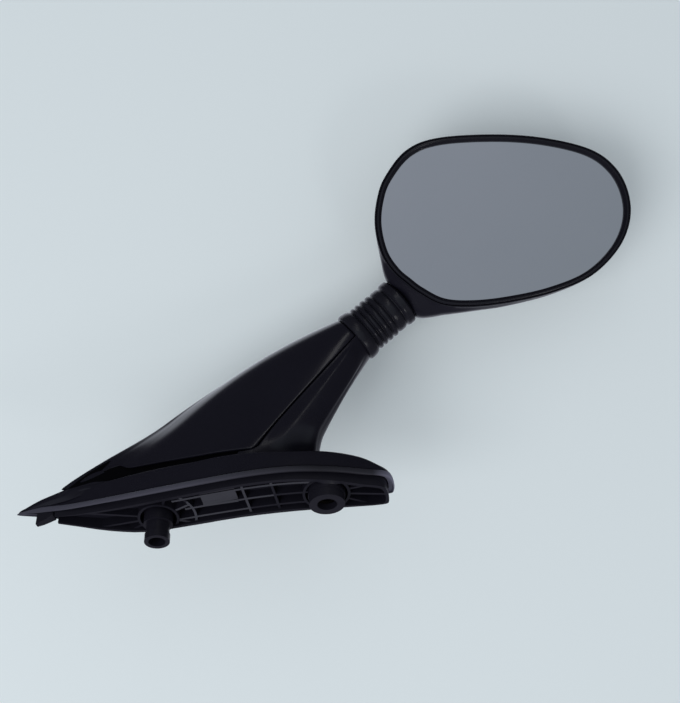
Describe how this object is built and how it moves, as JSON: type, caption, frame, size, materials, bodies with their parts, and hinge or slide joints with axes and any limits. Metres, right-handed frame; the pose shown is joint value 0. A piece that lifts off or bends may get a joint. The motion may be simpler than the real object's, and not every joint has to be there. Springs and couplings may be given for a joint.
{
  "type": "scooter mirror",
  "caption": "Right-hand scooter mirror for a front fairing: ribbed foot with studs, raked arm with a glossy cover, rubber neck boot and an egg-shaped head on a ball joint.",
  "frame": {"origin": "axis of the main stud's thread, at the underside of the gasket where the foot meets the fairing", "axes": "+Z out of the fairing, away from the studs; +X along the foot towards its blunt end; -Y the side the rider sees"},
  "size_m": [0.4143, 0.1164, 0.232],
  "materials": {
    "arm_plastic": "fine grained moulded nylon, satin",
    "cover_gloss": "glossy black paint",
    "frame_plastic": "glass-filled nylon, matt",
    "gasket_rubber": "matt rubber",
    "insert_brass": "plain brass",
    "bright_steel": "machined steel",
    "zinc_steel": "zinc plated",
    "boot_rubber": "matt rubber",
    "seat_nylon": "plain nylon",
    "socket_alloy": "die cast, as cast",
    "spring_steel": "plain spring steel",
    "head_plastic": "fine grained moulded plastic, satin",
    "bezel_plastic": "smooth satin plastic",
    "mirror_glass": "first surface silvered glass",
    "pad_foam": "adhesive foam",
    "carrier_plastic": "plain moulded plastic"
  },
  "bodies": {
    "arm": {"arm_frame": "arm_plastic", "arm_cover": "cover_gloss", "mount_frame": "frame_plastic", "base_gasket": "gasket_rubber", "main_stud_insert": "insert_brass", "second_stud_insert": "insert_brass", "ball_stud": "bright_steel", "stud_washer": "zinc_steel", "stud_nut": "zinc_steel", "neck_boot": "boot_rubber"},
    "lower_seat": {"ball_seat_lower": "seat_nylon"},
    "upper_seat": {"ball_seat_upper": "seat_nylon"},
    "mirror_head": {"ball_socket": "socket_alloy", "pressure_cup": "seat_nylon", "disc_springs": "spring_steel", "retaining_ring": "zinc_steel", "socket_screw": "zinc_steel", "head_housing": "head_plastic", "head_bezel": "bezel_plastic", "mirror_glass": "mirror_glass", "glass_pad": "pad_foam", "glass_carrier": "carrier_plastic"}
  },
  "joints": [
    {"name": "head_swivel", "type": "hinge", "parent": "arm", "child": "lower_seat", "pos_m": [0.04511, -0.01537, 0.11818], "axis": [0.8384, -0.2079, 0.5038], "range_deg": [-20, 20], "deforming": ["neck_boot"]},
    {"name": "head_tilt", "type": "hinge", "parent": "lower_seat", "child": "upper_seat", "pos_m": [0.04511, -0.01537, 0.11818], "axis": [0.5163, 0.5992, -0.6119], "range_deg": [-12, 12]},
    {"name": "head_raise", "type": "hinge", "parent": "upper_seat", "child": "mirror_head", "pos_m": [0.04511, -0.01537, 0.11818], "axis": [0.1747, -0.7731, -0.6097], "range_deg": [-12, 12]}
  ]
}
